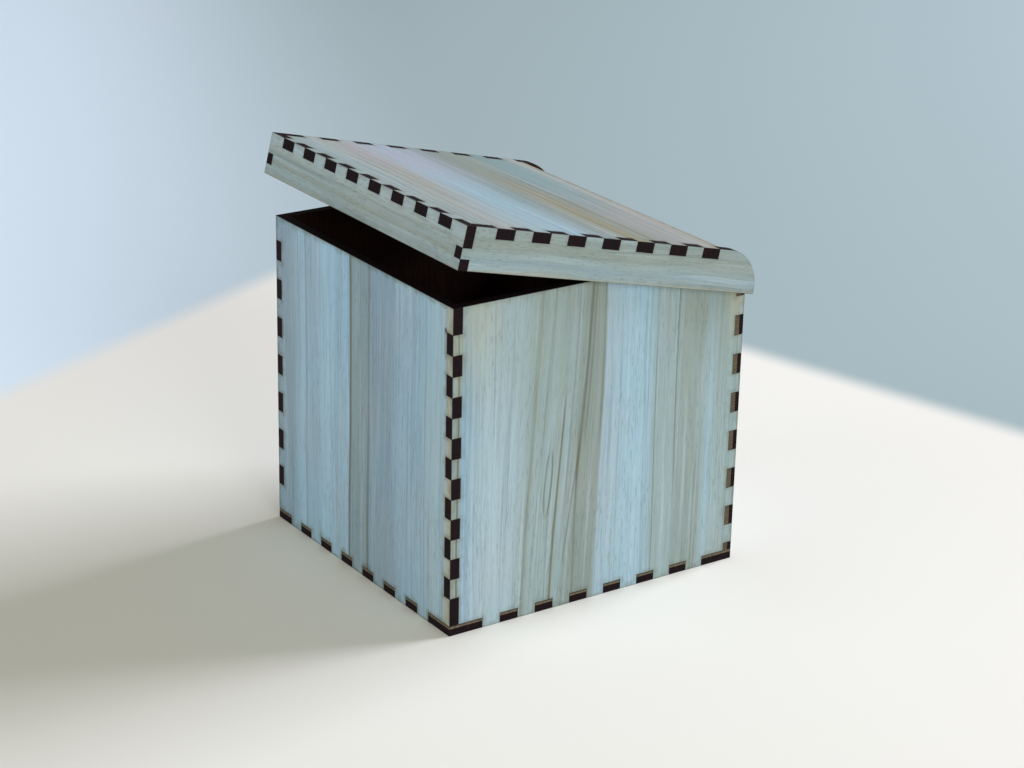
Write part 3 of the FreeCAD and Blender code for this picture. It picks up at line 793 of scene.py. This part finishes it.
def lid_front_cuts(tree, u, v):
    """Distance to the lid front's cuts: notches along the upper edge, and one up each side edge."""
    far = rest_of(tree, LID_WIDTH, u)
    below_top = rest_of(tree, LID_HEIGHT, v)
    return nearest_of(tree, [
        row_of(tree, u, below_top, FIRST_LID_FRONT, NOTCH, last=LAST_LID_FRONT),
        row_of(tree, v, u, CORNER_CENTRE, NOTCH, half=CORNER_FINGER / 2, last=0),
        row_of(tree, v, far, CORNER_CENTRE, NOTCH, half=CORNER_FINGER / 2, last=0),
        below_top, u, far, v,
    ])


STRIP_TIP = (178, 194, 194)
STRIP_PALE = (175, 187, 180)
STRIP_BLUE = (160, 175, 173)
STRIP_GREY = (158, 168, 157)
STRIP_STRAW = (168, 174, 158)
STRIP_BANDS = [
    (0.0, STRIP_STRAW), (0.4, STRIP_STRAW), (0.8, STRIP_BLUE), (3.0, STRIP_BLUE), (4.4, STRIP_GREY),
    (6.0, STRIP_BLUE), (8.0, STRIP_PALE), (9.6, STRIP_TIP), (12.3, STRIP_TIP),
]
stand = SWING @ Matrix.Translation((-LID_WIDTH / 2, LID_FRONT_Y + BOARD, LID_LOWER_Z)) @ FACING_FRONT
dress("lid_front", board_material(
    "lid front board", stand, UPPER_SIDE, STRIP_BANDS, seed=61.4, cuts=lid_front_cuts, upright=False,
    wave=2.0, figure_length=0.8, pore_share=0.34, smoke=0.2, char_share=0.35))

# Lid cheeks: strips with a wavy figure, rounded at the upper rear corner, that hang outside the box's
# sides and turn on the pegs. The lid top's tabs come through them in a row of seven.
LID_LENGTH = 104.1
CHEEK_PALE = (155, 172, 169)
CHEEK_BLUE = (147, 168, 172)
CHEEK_GREY = (148, 161, 152)
CHEEK_BANDS = [
    (0.0, STRIP_STRAW), (0.3, STRIP_STRAW), (0.7, CHEEK_PALE), (3.0, CHEEK_BLUE), (5.0, CHEEK_PALE),
    (7.0, CHEEK_GREY), (9.0, CHEEK_GREY), (12.3, CHEEK_PALE),
]


def cheek_cuts(tree, u, v):
    """Distance to a cheek's cuts: notches along the upper edge, and one tab at the front."""
    below_top = rest_of(tree, LID_HEIGHT, v)
    return nearest_of(tree, [
        row_of(tree, u, below_top, FIRST_CHEEK, NOTCH),
        row_of(tree, v, u, CORNER_CENTRE, TAB, half=CORNER_FINGER / 2, last=0),
        below_top, u, rest_of(tree, LID_LENGTH, u), v,
    ])


for node_name, edge_x, good_side, cheek_seed in (
    ("lid_right_cheek", LID_WIDTH / 2 - BOARD, UPPER_SIDE, 71.8),
    ("lid_left_cheek", -LID_WIDTH / 2, LOWER_SIDE, 83.6),
):
    stand = SWING @ Matrix.Translation((edge_x, LID_FRONT_Y, LID_LOWER_Z)) @ FACING_SIDE
    dress(node_name, board_material(
        node_name.replace("_", " ") + " board", stand, good_side, CHEEK_BANDS, seed=cheek_seed,
        cuts=cheek_cuts, upright=False, wave=3.0, figure_length=0.7, pore_share=0.34, smoke=0.15,
        char_share=0.35))

# Light: an even pale room, a broad window behind the box, and two weak soft lamps at its right and
# its front.
ROOM_COLOUR = (1.0, 0.98, 0.91, 1.0)
ROOM_LEVEL = 0.24
world = bpy.data.worlds.new("room")
bpy.context.scene.world = world
world.use_nodes = True
sky = world.node_tree.nodes["Background"]
sky.inputs["Color"].default_value = ROOM_COLOUR
sky.inputs["Strength"].default_value = ROOM_LEVEL


def window(name, place, size, power, colour):
    """A square soft light that looks at the box."""
    lamp = bpy.data.lights.new(name, "AREA")
    lamp.size = size
    lamp.energy = power
    lamp.color = colour
    lamp_object = bpy.data.objects.new(name, lamp)
    bpy.context.scene.collection.objects.link(lamp_object)
    lamp_object.location = place
    lamp_object.rotation_euler = (-Vector(place)).to_track_quat("-Z", "Y").to_euler()
    lamp_object.visible_camera = False


window("rear window", place=(0.2, 1.65, 1.1), size=1.0, power=39.0, colour=(0.95, 1.0, 1.24))
window("right lamp", place=(1.55, -0.2, 0.65), size=0.8, power=9.4, colour=(0.96, 1.0, 1.06))
window("front lamp", place=(-0.35, -1.6, 0.35), size=1.0, power=8.9, colour=(0.92, 1.0, 1.09))

# Camera: to the right of the box's front edge and a little above it, with a long lens.
camera_data = bpy.data.cameras.new("camera")
camera = bpy.data.objects.new("camera", camera_data)
bpy.context.scene.collection.objects.link(camera)
camera_data.sensor_width = 36.0
camera_data.lens = 90.82
camera_data.clip_start = 0.01
right = Vector((0.55975, 0.82841, 0.02046))
up = Vector((-0.3092, 0.18589, 0.93265))
toward = Vector((0.76881, -0.52838, 0.3602))
view = Matrix((right, up, toward)).transposed().to_4x4()
view.translation = Vector((0.59065, -0.4034, 0.3259))
camera.matrix_world = view
bpy.context.scene.camera = camera
bpy.context.scene.view_settings.view_transform = "Standard"
